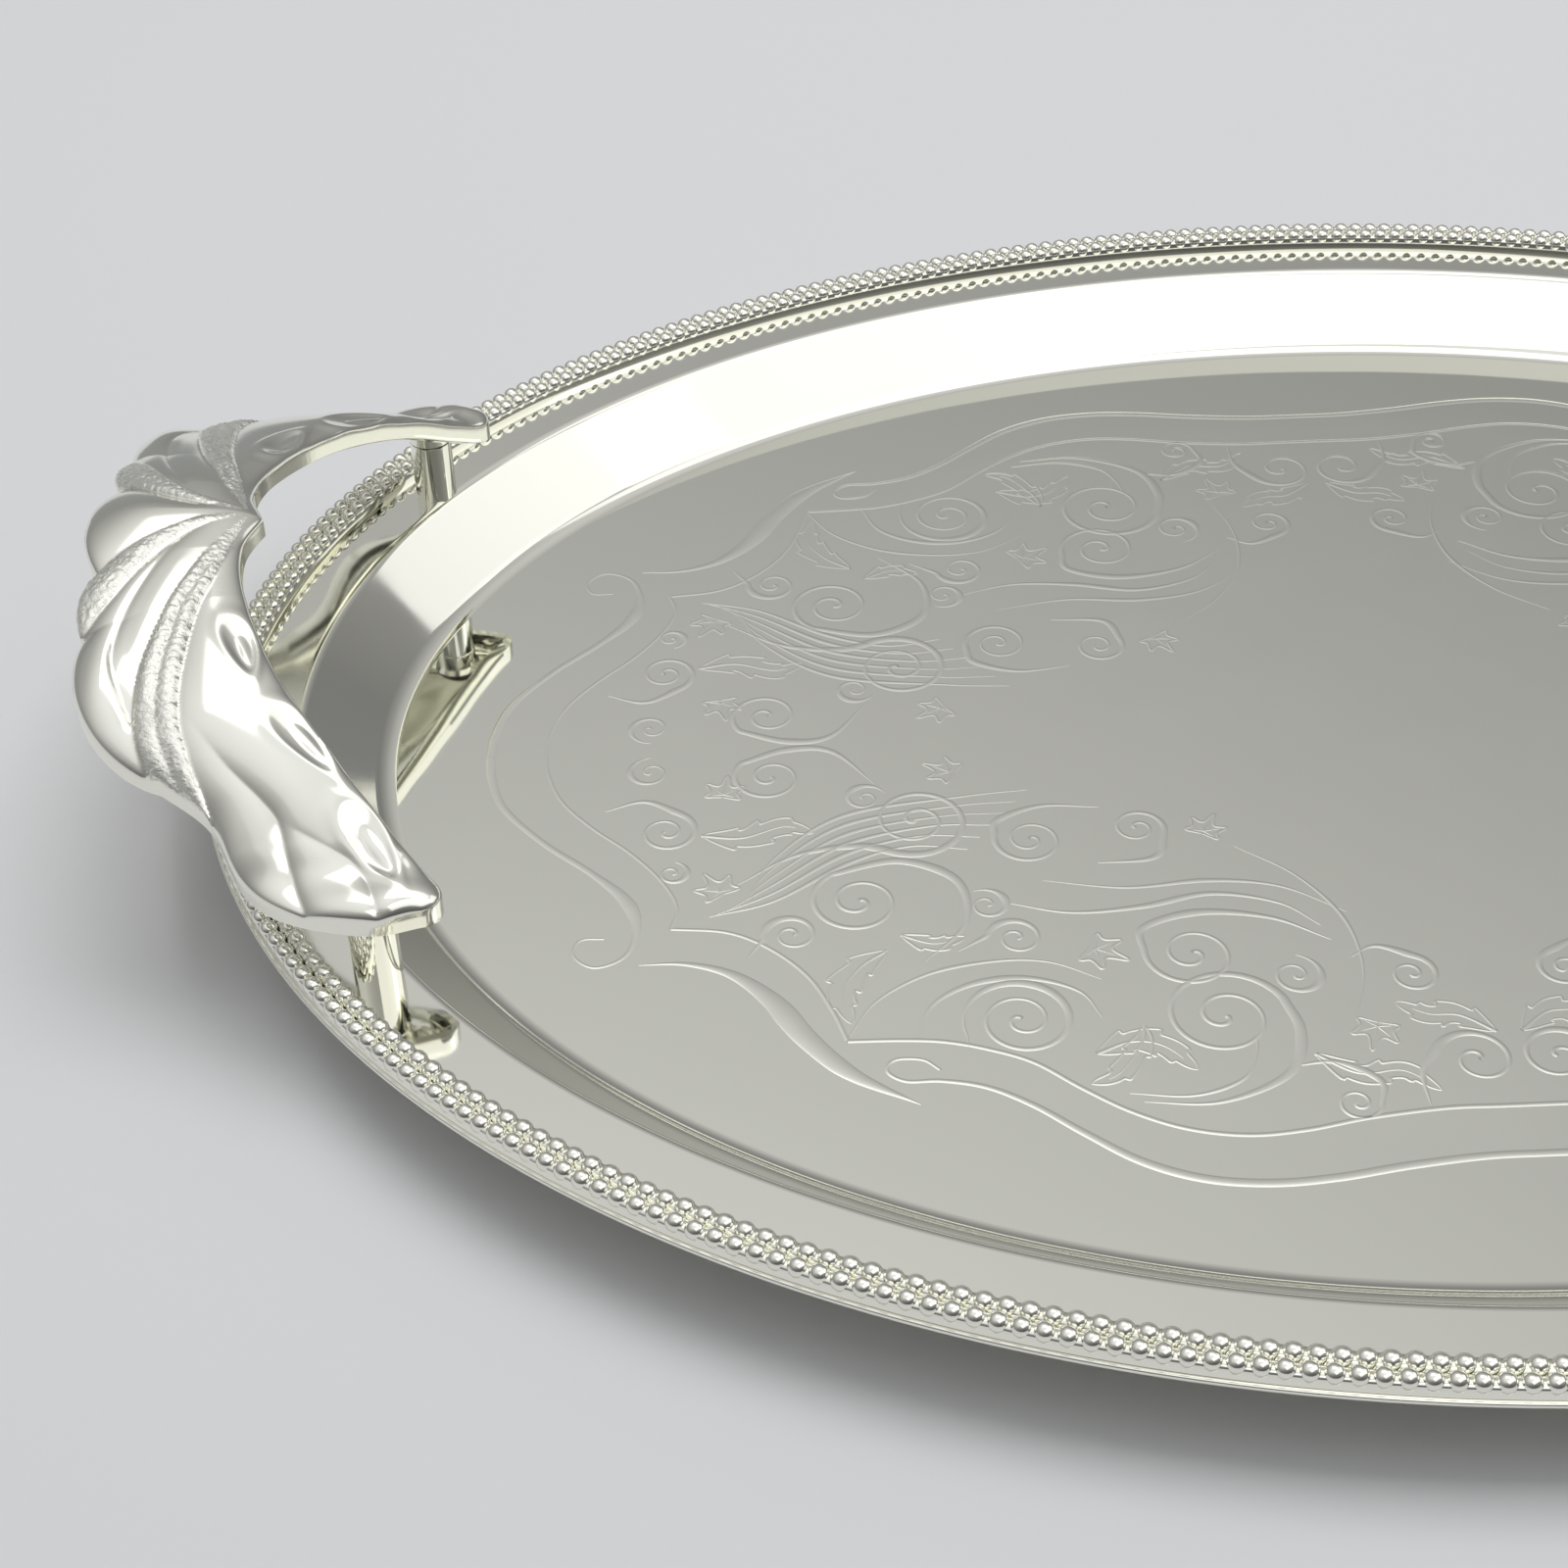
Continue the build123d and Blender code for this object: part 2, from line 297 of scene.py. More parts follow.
def make_pan():
    """One closed skin: from under the lip over the brim to the floor's middle, and back underneath."""
    slope = math.atan2(BRIM_TOP - SHEET, FLOOR_INSET - SHOULDER_INSET)
    shift = SHEET * math.tan(slope / 2)
    top = rounded_path([(SEAM_INSET, BRIM_TOP - SHEET, 0), (0, BRIM_TOP - SHEET, LIP_ROUND),
                        (0, BRIM_TOP, LIP_ROUND), (SHOULDER_INSET, BRIM_TOP, SHOULDER_ROUND),
                        (FLOOR_INSET, SHEET, FLOOR_ROUND), (FLAT_INSET, SHEET, 0)], guard=LIP_GUARD)
    under = rounded_path([(FLAT_INSET, 0, 0), (FLOOR_INSET - shift, 0, FLOOR_ROUND + SHEET),
                          (SHOULDER_INSET - shift, BRIM_TOP - SHEET, SHOULDER_ROUND - SHEET),
                          (SEAM_INSET, BRIM_TOP - SHEET, 0)])
    rings = [oval_ring(inset, height) for inset, height in top]
    rings += [oval_ring(FLAT_INSET, SHEET, share) for share in FLOOR_SHARES]
    upper = len(rings)
    rings += [oval_ring(FLAT_INSET, 0.0, share) for share in reversed(FLOOR_SHARES)]
    rings += [oval_ring(inset, height) for inset, height in under[:-1]]

    faces, satin_faces = [], []
    j = np.arange(AROUND)
    j2 = (j + 1) % AROUND
    for k in range(len(rings)):
        if k == upper - 1:
            continue  # the floor's last ring is closed by a cap, not joined to the underside
        here, following = k * AROUND, (k + 1) % len(rings) * AROUND
        faces += np.stack([here + j2, here + j, following + j, following + j2], -1).tolist()
        satin_faces += [len(top) - 2 <= k < upper] * AROUND
    faces.append([(upper - 1) * AROUND + k for k in range(AROUND)])
    faces.append([upper * AROUND + k for k in reversed(range(AROUND))])
    satin_faces += [True, False]
    make_piece("pan_shell", np.vstack(rings), faces, [mirror, satin], ["tray_pan"], sharp=50,
               face_material=satin_faces)


# ---------------------------------------------------------------- the two rows of beads
BEAD_HALF_HEIGHT = 1.6
BEAD_MERGE = 1.03  # beads are this much longer than their pitch, so that they melt together
ROW_OVERLAP = 0.12  # and this much wider on each side, so that the two rows touch
WIRE_HALF, WIRE_RISE = 1.3, 0.55
RUN_STEPS = 7201  # points for measuring the way round, a twentieth of a degree apart


def unit_ball():
    """Vertices and faces of a ball with a radius of 1."""
    rings, segments = 9, 18
    lat = np.linspace(-math.pi / 2, math.pi / 2, rings + 2)[1:-1]
    lon = np.linspace(0, 2 * math.pi, segments, endpoint=False)
    verts = [(math.cos(p) * math.cos(q), math.cos(p) * math.sin(q), math.sin(p)) for p in lat for q in lon]
    faces = grid_faces(rings, segments, close_cols=True)
    bottom, peak = rings * segments, rings * segments + 1
    last = (rings - 1) * segments
    for s in range(segments):
        n = (s + 1) % segments
        faces += [[bottom, n, s], [peak, last + s, last + n]]
    return np.array(verts + [(0, 0, -1), (0, 0, 1)]), faces


def bead_row(name, inset, replaced):
    """A beaded wire round the brim: single beads on a low rounded band."""
    centre = inset + BEAD_WIDTH / 2
    a, b = HALF_LENGTH - centre, HALF_WIDTH - centre
    fine = np.linspace(0, 2 * math.pi, RUN_STEPS)
    run = run_along(np.stack([a * np.cos(fine), b * np.sin(fine)], -1))
    count = round(run[-1] / BEAD_PITCH)
    at = np.interp(np.arange(count) * run[-1] / count, run, fine)
    middle = BEAD_TOP - BEAD_HALF_HEIGHT

    ball, ball_faces = unit_ball()
    ball *= (run[-1] / count / 2 * BEAD_MERGE, BEAD_WIDTH / 2 + ROW_OVERLAP, BEAD_HALF_HEIGHT)
    verts, faces = [], []
    for t in at:
        way = np.array([-a * math.sin(t), b * math.cos(t)])
        way /= np.linalg.norm(way)
        out = np.array([way[1], -way[0]])
        start = len(verts) * len(ball)
        verts.append(np.stack([a * math.cos(t) + ball[:, 0] * way[0] + ball[:, 1] * out[0],
                               b * math.sin(t) + ball[:, 0] * way[1] + ball[:, 1] * out[1],
                               middle + ball[:, 2]], -1))
        faces += [[i + start for i in face] for face in ball_faces]
    verts = np.vstack(verts)

    top = middle + WIRE_RISE
    flank = [(-WIRE_HALF, BRIM_TOP), (-WIRE_HALF, top - 0.5), (-WIRE_HALF * 0.7, top - 0.1)]
    band = flank + [(0, top)] + [(-across, height) for across, height in reversed(flank)]
    wire = np.vstack([oval_ring(centre + across, height) for across, height in band])
    faces += grid_faces(len(band), AROUND, start=len(verts), close_cols=True)
    make_piece(name, np.vstack([verts, wire]), faces, [beads], [replaced])


# ---------------------------------------------------------------- the cast handles
# Half of the handle seen from above, as (outward from the tray's middle, across).
CROWN_EDGE, CROWN_LOBE, CROWN_NOTCH = (229.5, 0.0), (228.6, 7.0), (226.0, 12.5)
RIB_END, SIDE_NOTCH = (228.2, 20.0), (226.6, 27.0)
SIDE_LOBE, WAIST = (225.0, 42.0), (212.0, 52.5)
LEG_OUTER = [(204.0, 58.0), (199.0, 66.0), (190.0, 72.6), (178.5, 75.6)]
TIP_START, TIP, TIP_END = (170.5, 74.0), (167.6, 71.2), (168.6, 67.6)
LEG_INNER = [(175.5, 60.5), (184.0, 50.5), (194.0, 36.0), (200.6, 20.0), (202.4, 8.5)]
INNER_KNOB = (199.8, 0.0)
# Height of its bottom rim, as (across, height).
RIM_CURVE = [(0.0, 50.5), (13.0, 49.4), (27.0, 46.2), (42.0, 41.6), (54.0, 35.8), (63.0, 29.2), (68.0, 26.0)]
RIM_BEFORE, RIM_AFTER = (-13.0, 49.4), (74.0, 26.0)

# The rise of its upper face over the bottom rim, at its edges and along its crest.
EDGE_RISE, CREST_RISE = 3.3, 6.5
# The rise is held below the casting's depth less a margin, with a soft knee.
RISE_MARGIN, RISE_KNEE = 0.25, 0.3
# Swellings in the middle of the crown and beside it: centre, spread outward and across, height.
SWELLINGS = [((220.0, 0.0), (6.0, 5.5), 0.5), ((222.5, 37.5), (4.0, 7.5), 0.9)]
# Satin ribs that fan out from the inner edge, with half their width along them.
END_RIB = [(203.5, 0.9), (208.5, 2.6), (213.0, 5.2), (217.5, 9.0), (222.2, 14.0), (225.6, 17.8),
           (229.4, 21.6)]
END_RIB_HALF = [(0, 0.3), (0.3, 1.2), (0.6, 2.5), (1, 4.8)]
SIDE_RIB = [(202.6, 1.6), (204.8, 7.5), (207.6, 15.0), (210.4, 23.0), (212.2, 32.0), (213.0, 39.5),
            (212.5, 46.0), (210.3, 51.5), (207.0, 56.5), (204.0, 60.4), (201.4, 64.0)]
SIDE_RIB_HALF = [(0, 0.4), (0.15, 1.5), (0.35, 2.4), (0.5, 3.1), (0.65, 3.5), (0.76, 3.2), (0.88, 2.0),
                 (1, 0.5)]
RIB_HUMP = 0.55
RIB_STARTS, RIB_GROWS, RIB_ENDS = (0.0, 0.12), (0.02, 0.4), (0.9, 1.0)  # stretches along a rib
RIB_EDGE = (-0.25, 0.35)  # distances from its edge between which a rib turns into a valley
VALLEY_DEPTH, VALLEY_SPREAD = 1.15, 3.0  # the valleys on both sides of a rib
# The punched texture of the ribs, in two layers: pitch, seed, height, shift of the lattice.
PUNCH_LAYERS = [(0.6, 3, 0.11, 0.0), (0.4, 5, 0.13, 31.7)]
# Lines of the creases between the smooth folds.
LOBE_CREASE = [(208.5, 3.8), (213.6, 9.6), (218.4, 19.5), (220.6, 28.0), (220.4, 35.5), (216.8, 44.0)]
LEG_CREASE = [(209.4, 42.5), (204.8, 48.0), (201.0, 52.2), (195.6, 57.0), (192.9, 60.0), (191.6, 64.0),
              (190.0, 69.0), (188.0, 74.0)]
TIP_CREASE = [(193.0, 59.6), (189.4, 61.8), (184.4, 64.2), (181.2, 66.0), (178.8, 69.4), (177.0, 75.0)]
# Each crease: its line, its depth, the stretch of the line where it deepens (0 to 1), how far it spreads
# on its right and on its left, and the distances between which it ends, if it does.
CREASES = [(LOBE_CREASE, 0.75, (0.05, 0.45), 1.0, 3.2, (6, 2)),
           (LEG_CREASE, 1.25, (0.0, 0.55), 3.4, 1.7, None),
           (TIP_CREASE, 0.6, (0.0, 0.35), 1.6, 1.6, None)]
# Thumbprint hollows along the inner edge: centre, half length, half width, direction in degrees;
# then how deep they are, and how high the lip round them and the swelling inside them.
THUMBPRINTS = [((200.2, 31.0), 6.4, 2.5, 110.0), ((189.4, 48.0), 7.4, 2.9, 132.0),
               ((178.4, 63.4), 6.8, 2.8, 126.0)]
THUMB_DEPTH, THUMB_LIP, THUMB_SWELL = 0.7, 0.22, 0.4
# The hollow underside: height of its side and of its ceiling, and how far the ceiling arches.
HOLLOW_SIDE, CEILING, CEILING_ARCH = 1.6, 2.2, 2.2
EDGE_BEVEL = 0.25  # along the bottom rim's edges
# A boss over each pillar, inside the hollow, as (radius, height above the pillar).
BOSS_PROFILE = [(1.6, 0.05), (BOSS_RADIUS - 0.3, 0.05), (BOSS_RADIUS, 0.35), (BOSS_RADIUS, 3.6),
                (BOSS_RADIUS + 0.8, 4.4)]
BOSS_SIDES = 40


def handle_outlines():
    """The outer and the inner outline from the crown's middle to the leg's tip."""
    outer = np.vstack([arc(CROWN_EDGE, CROWN_LOBE, CROWN_NOTCH), arc(CROWN_NOTCH, RIB_END, SIDE_NOTCH)[1:],
                       arc(SIDE_NOTCH, SIDE_LOBE, WAIST)[1:],
                       through([WAIST] + LEG_OUTER + [TIP_START])[1:]])
    tip = arc(TIP_START, TIP, TIP_END, 41)
    inner = through([INNER_KNOB] + LEG_INNER[::-1] + [TIP_END])
    return np.vstack([outer, tip[1:21]]), np.vstack([inner, tip[-2:19:-1]])


def rim_height(across):
    """Height of the handle's bottom rim."""
    line = through([RIM_BEFORE] + RIM_CURVE + [RIM_AFTER], 16)
    keep = line[:, 0] >= 0
    return np.interp(np.abs(across), line[keep, 0], line[keep, 1])


def grain(points, pitch, seed):
    """Smooth random values on a square lattice, for the punched texture of the ribs."""
    size = 256
    table = np.random.default_rng(seed).uniform(-1, 1, (size, size))
    g = points / pitch
    i = np.floor(g).astype(int)
    f = g - i
    f = f * f * (3 - 2 * f)
    a, b = i[:, 0] % size, i[:, 1] % size
    c, d = (a + 1) % size, (b + 1) % size
    low = table[a, b] * (1 - f[:, 0]) + table[c, b] * f[:, 0]
    high = table[a, d] * (1 - f[:, 0]) + table[c, d] * f[:, 0]
    return low * (1 - f[:, 1]) + high * f[:, 1]


def crease(points, line, depth, deepens, right, left, ends):
    """How deep a crease is at each point."""
    d, s = along(points, through(line))
    gap = np.abs(d)
    fade = smoothstep(*deepens, s)
    if ends is not None:
        fade = fade * smoothstep(*ends, gap)
    return fade * depth * np.where(d < 0, np.exp(-gap / right), np.exp(-gap / left))


def thumbprint(points, centre, half_long, half_wide, heading):
    """Height of a pointed hollow with a soft lip round it and a swelling inside it."""
    c, q = math.cos(math.radians(heading)), math.sin(math.radians(heading))
    p = points - centre
    u = (p[:, 0] * c + p[:, 1] * q) / half_long
    v = (-p[:, 0] * q + p[:, 1] * c) / half_wide
    taper = (1 - 0.35 * u).clip(0.3, 2)
    r = np.sqrt(u**2 + (v / taper) ** 2)
    lip = THUMB_LIP * np.exp(-((r - 1.1) / 0.28) ** 2)
    hollow = THUMB_DEPTH * (1 - np.minimum(r, 1) ** 2) ** 1.3
    r_inner = np.sqrt(((u - 0.15) / 0.62) ** 2 + ((v - 0.12) / (0.45 * taper)) ** 2)
    return lip - hollow + THUMB_SWELL * (1 - np.minimum(r_inner, 1) ** 2) ** 1.3


def rib(points, line, half_table, double):
    """Height of a rib between its valleys, how far each point is on it, and its place along it."""
    d, s = along(points, through(line))
    half = table_value(s, half_table)
    beyond = np.abs(d) - half
    inside = 1 - smoothstep(*RIB_EDGE, beyond)
    grow = smoothstep(*RIB_GROWS, s)
    if double:
        # Two rounds side by side, and a softer end.
        hump = 1 - ((np.abs(d) - half * 0.5) / (half * 0.5)).clip(-1, 1) ** 2
        grow = grow * (1 - smoothstep(*RIB_ENDS, s) * 0.8)
    else:
        hump = 1 - (d / half).clip(-1, 1) ** 2
    valley = -VALLEY_DEPTH * np.exp(-np.maximum(beyond, 0) / VALLEY_SPREAD)
    ridge = -RIB_HUMP + RIB_HUMP * hump
    return grow * (inside * ridge + (1 - inside) * valley), inside, s


def handle_relief(points, across_share, length_share):
    """Rise of the upper face for points given as (outward, across), and how far each is on a rib."""
    # The crest is rounded across the handle and comes down at the leg's tip.
    dome = (1 - (2 * across_share - 1) ** 2).clip(0, 1) ** 0.6
    dome *= (1 - smoothstep(0.86, 1.0, length_share) ** 2).clip(0, 1) ** 0.5
    relief = EDGE_RISE + (CREST_RISE - EDGE_RISE) * dome
    for (out, across), (spread_out, spread_across), height in SWELLINGS:
        relief += height * np.exp(-((points[:, 0] - out) / spread_out) ** 2
                                  - ((points[:, 1] - across) / spread_across) ** 2)
    for fold in CREASES:
        relief -= crease(points, *fold)
    for hollow in THUMBPRINTS:
        relief += thumbprint(points, *hollow)

    speckle = sum(grain(points + shift, pitch, seed) * height for pitch, seed, height, shift in PUNCH_LAYERS)
    on_rib = np.zeros(len(points))
    for line, half_table, double in ((END_RIB, END_RIB_HALF, False), (SIDE_RIB, SIDE_RIB_HALF, True)):
        height, inside, s = rib(points, line, half_table, double)
        relief += height + inside * speckle * smoothstep(*RIB_STARTS, s)
        on_rib = np.maximum(on_rib, inside)

    over = (relief - HANDLE_DEPTH + RISE_MARGIN) / RISE_KNEE
    return relief - RISE_KNEE * np.logaddexp(0, over), on_rib


def handle_rings():
    """Rings round the casting's section for one half: (plan points, rise over the rim), and the rib marks.

    They go over the top from the inner to the outer edge, down it, and back through the hollow.
    """
    half_columns, rows, ceiling_rows = 330, 78, 18
    outer, inner = (resample(line, half_columns + 1)[:-1] for line in handle_outlines())
    share = np.linspace(0, 1, half_columns + 1)[:-1]
    width = np.linalg.norm(outer - inner, axis=1)
    wall = np.minimum(HANDLE_WALL / width, 0.42)
    bevel = EDGE_BEVEL / width
    hollow = smoothstep(4.5, 10.0, width)
    flat = 0 * share

    def plan_at(v):
        """Plan points at share v of the way from the inner to the outer outline."""
        v = np.reshape(v, (-1, 1))
        return inner * (1 - v) + outer * v

    rings, rib_rows = [], []
    for v in np.linspace(0, 1, rows):
        top, on_rib = handle_relief(plan_at(v), np.full(half_columns, v), share)
        rings.append((plan_at(v), top))
        rib_rows.append(np.concatenate([on_rib[::-1], on_rib[1:]]) > 0.5)
    (inner_plan, inner_top), (outer_plan, outer_top) = rings[0], rings[-1]
    side_shares = (0.66, 0.33, 0.06)
    rings += [(outer_plan, outer_top * part) for part in side_shares]
    rings += [(plan_at(1 - bevel), flat), (plan_at(1 - wall), flat)]
    rings.append((plan_at(1 - wall), hollow * HOLLOW_SIDE))
    for v in np.linspace(1, 0, ceiling_rows):
        arch = (1 - (2 * v - 1) ** 2) ** 0.5
        rings.append((plan_at(wall + v * (1 - 2 * wall)), hollow * (CEILING + CEILING_ARCH * arch)))
    rings.append((plan_at(wall), hollow * HOLLOW_SIDE))
    rings += [(plan_at(wall), flat), (plan_at(bevel), flat)]
    rings += [(inner_plan, inner_top * part) for part in reversed(side_shares)]
    return rings, np.array(rib_rows)


def make_handle(name, side, replaced):
    """One casting, mirrored about its middle; side is -1 at the tray's left end and 1 at its right."""
    rings, rib_rows = handle_rings()
    verts = []
    for plan, top in rings:
        z = rim_height(plan[:, 1]) + top
        near = np.stack([side * plan[:, 0], -plan[:, 1], z], -1)[::-1]
        far = np.stack([side * plan[:, 0], plan[:, 1], z], -1)[1:]
        verts.append(np.vstack([near, far]))
    count, columns = len(rings), len(verts[0])
    verts = np.vstack(verts)
    faces = grid_faces(count, columns, close_rows=True)
    punched_faces = np.zeros((count, columns - 1), bool)
    punched_faces[:len(rib_rows) - 1] = rib_rows[:-1, :-1] & rib_rows[1:, 1:]
    punched_faces = punched_faces.reshape(-1).tolist()
    if side > 0:
        faces = [face[::-1] for face in faces]
    faces.append([r * columns for r in range(count)])
    faces.append([r * columns + columns - 1 for r in range(count)][::-1])

    ring = np.linspace(0, 2 * math.pi, BOSS_SIDES, endpoint=False)
    for y in (-PILLAR_ACROSS, PILLAR_ACROSS):
        start = len(verts)
        boss = [np.stack([side * PILLAR_OUT + r * np.cos(ring), y + r * np.sin(ring),
                          np.full(len(ring), HANDLE_SEAT + z)], -1) for r, z in BOSS_PROFILE]
        verts = np.vstack([verts] + boss)
        faces += grid_faces(len(boss), len(ring), start=start, close_cols=True)
    punched_faces += [False] * (len(faces) - len(punched_faces))
    make_piece(name, verts, faces, [cast, punched], [replaced], sharp=42,
               face_material=punched_faces)


# ---------------------------------------------------------------- the stamped pattern on the floor
PATTERN_HEIGHT = 0.065
PATTERN_EDGE = 0.36
PATTERN_SINK = 0.010  # how far a stroke's foot is sunk into the floor
# Strokes stand at slightly different heights, so that no two faces lie in one plane where they cross.
STAGGER, STAGGER_LEVELS, STRIPS_PER_STROKE = 0.0025, 7, 4
LEAF_LOBES = (-108, -52, 0, 52, 108)
LEAF_STEM = 172
LEAF_OUTLINE = [(0, 0.3), (0.1, 0.6), (0.9, 0.6), (1, 0.3)]


def swelling(start, middle, end):
    """Widths of a stroke that swells towards its middle."""
    return [(0, start), (0.5, middle), (1, end)]


def polar(centre, radius, degrees):
    """A point at a distance and a direction from the centre."""
    a = math.radians(degrees)
    return centre[0] + radius * math.cos(a), centre[1] + radius * math.sin(a)


class Pattern:
    """Collects raised strokes and turns them into one mesh, the same in all four quarters."""

    def __init__(self):
        self.verts, self.faces, self.used, self.strips = [], [], 0, 0

    def _strip(self, line, width, flip):
        """A low ridge with sloping sides along the line."""
        side = directions(line)[1]
        half = np.maximum(width, 0.04)[:, None] / 2
        edge = np.minimum(PATTERN_EDGE, half * 0.98)
        self.strips += 1
        level = self.strips // STRIPS_PER_STROKE % STAGGER_LEVELS
        foot = np.full((len(line), 1), SHEET - PATTERN_SINK + STAGGER * level)
        crest = foot + PATTERN_HEIGHT * (edge / PATTERN_EDGE).clip(0, 1) ** 0.7
        for off, z in ((half, foot), (half - edge, crest), (edge - half, crest), (-half, foot)):
            self.verts.append(np.hstack([line + side * off, z]))
        faces = grid_faces(4, len(line), start=self.used)
        self.faces += faces if flip else [face[::-1] for face in faces]
        self.used += 4 * len(line)

    def stroke(self, points, widths, curve=True, step=0.7):
        """A raised stroke through the points; widths are (share along, width)."""
        line = through(points) if curve else np.asarray(points, float)
        count = max(4, int(run_along(line)[-1] / step))
        line = resample(line, count)
        width = table_value(np.linspace(0, 1, count), widths)
        for sx in (1, -1):
            for sy in (1, -1):
                self._strip(line * (sx, sy), width, sx * sy > 0)

    def spiral(self, centre, radius, turns, heading, hand, width, tail=()):
        """A scroll that winds in from the given heading, with an optional tail leading up to it."""
        t = np.linspace(0, 1, int(30 * turns) + 6)
        angle = math.radians(heading) + hand * 2 * math.pi * turns * t
        r = radius * (1 - t) ** 0.85 + 0.25
        coil = np.stack([centre[0] + r * np.cos(angle), centre[1] + r * np.sin(angle)], -1)
        line = np.vstack([through(list(tail) + [tuple(coil[0])])[:-1], coil]) if tail else coil
        widths = [(0, 0.2), (0.28, width * 2.1), (0.5, width * 1.2), (0.8, width * 0.8), (1, width)]
        self.stroke(line, widths, curve=False, step=0.5)

    def leaf(self, centre, size, heading):
        """An ivy leaf: pointed lobes on both sides of its heading, and veins to them."""
        tips = [(angle, 1.0 - 0.0035 * abs(angle)) for angle in LEAF_LOBES]
        notches = [((a + b) / 2, 0.46) for a, b in zip(LEAF_LOBES, LEAF_LOBES[1:])]
        ring = sorted(tips + notches + [(-LEAF_STEM, 0.16), (LEAF_STEM, 0.16)])
        outline = [polar(centre, size * reach, heading + angle) for angle, reach in ring]
        self.stroke(outline, LEAF_OUTLINE, step=0.45)
        for angle, reach in tips:
            vein = [centre, polar(centre, size * reach * 0.62, heading + angle)]
            self.stroke(vein, [(0, 0.45), (1, 0.1)], curve=False, step=0.6)

    def frond(self, spine, width, teeth):
        """A toothed leaf that follows a curved spine."""
        middle = resample(through(spine), 12 * teeth)
        t = np.linspace(0, 1, len(middle))
        way, side = directions(middle)
        body = np.sin(math.pi * t ** 0.75) ** 0.8
        tooth = 0.62 + 0.38 * ((t * teeth) % 1.0) ** 1.4
        reach = (width * body * tooth)[:, None]
        for sign in (1, -1):
            teeth_line = middle + side * sign * reach + way * 0.5 * reach
            self.stroke(teeth_line, LEAF_OUTLINE, curve=False, step=0.45)
        self.stroke(middle[: int(len(middle) * 0.85)], [(0, 0.9), (1, 0.15)], curve=False)

    def finish(self, name):
        make_piece(name, np.vstack(self.verts), self.faces, [embossed], sharp=28)


def border_pattern():
    """The lines that frame the pattern, drawn in one quarter of the floor."""
    p = Pattern()
    # The bow at each end of the floor with its two curls.
    p.stroke([(-166.0, 0.0), (-165.6, -6.0), (-163.0, -15.0), (-155.6, -25.0), (-147.4, -33.2),
              (-141.2, -40.8), (-139.2, -48.0), (-141.0, -54.8), (-146.0, -57.4), (-149.6, -54.4),
              (-148.6, -50.6), (-144.6, -50.4)],
             [(0, 1.9), (0.3, 1.4), (0.5, 1.6), (0.62, 2.8), (0.72, 1.3), (0.8, 0.8), (1, 0.6)])
    # The frame line inside it, up to the cusp, and on to the corner and along the side.
    p.stroke([(-156.0, 0.0), (-155.4, -6.0), (-152.6, -14.0), (-147.0, -21.6), (-140.6, -28.4),
              (-135.2, -36.0), (-132.4, -43.0), (-133.4, -48.6)], [(0, 0.8), (1, 0.8)])
    p.stroke([(-133.4, -48.6), (-124.0, -50.0), (-117.0, -54.4), (-111.0, -61.4), (-107.4, -69.6),
              (-105.2, -77.0)], [(0, 0.8), (1, 0.9)])
    p.stroke([(-105.2, -77.0), (-97.0, -77.2), (-90.0, -77.9), (-83.0, -80.0), (-76.0, -83.4),
              (-69.0, -89.6), (-62.0, -95.0), (-54.0, -99.0), (-45.0, -100.8), (-36.0, -100.2),
              (-26.0, -98.2), (-14.0, -96.8), (-5.0, -96.8), (0.0, -96.8)], [(0, 0.9), (1, 1.0)])
    # The blade between the bow and the long border stroke.
    p.stroke([(-138.8, -57.2), (-131.0, -57.4), (-123.4, -60.4), (-117.0, -67.0), (-111.8, -76.0),
              (-105.0, -84.4), (-94.6, -91.6)], [(0, 0.2), (0.25, 1.8), (0.5, 4.4), (0.75, 3.4), (1, 0.2)])
    # The long border stroke with its loop.
    p.stroke([(-91.0, -84.2), (-93.6, -81.8), (-98.0, -81.6), (-99.4, -84.0), (-96.6, -86.4),
              (-91.0, -86.6), (-84.0, -88.4), (-77.0, -92.8), (-70.0, -99.0), (-62.0, -105.4),
              (-53.0, -109.4), (-43.0, -110.8), (-33.0, -110.2), (-22.0, -108.4), (-10.0, -107.1),
              (0.0, -107.0)], [(0, 0.6), (0.12, 0.8), (0.25, 1.1), (0.5, 1.8), (0.8, 1.7), (1, 1.5)])
    p.finish("floor_border_relief")


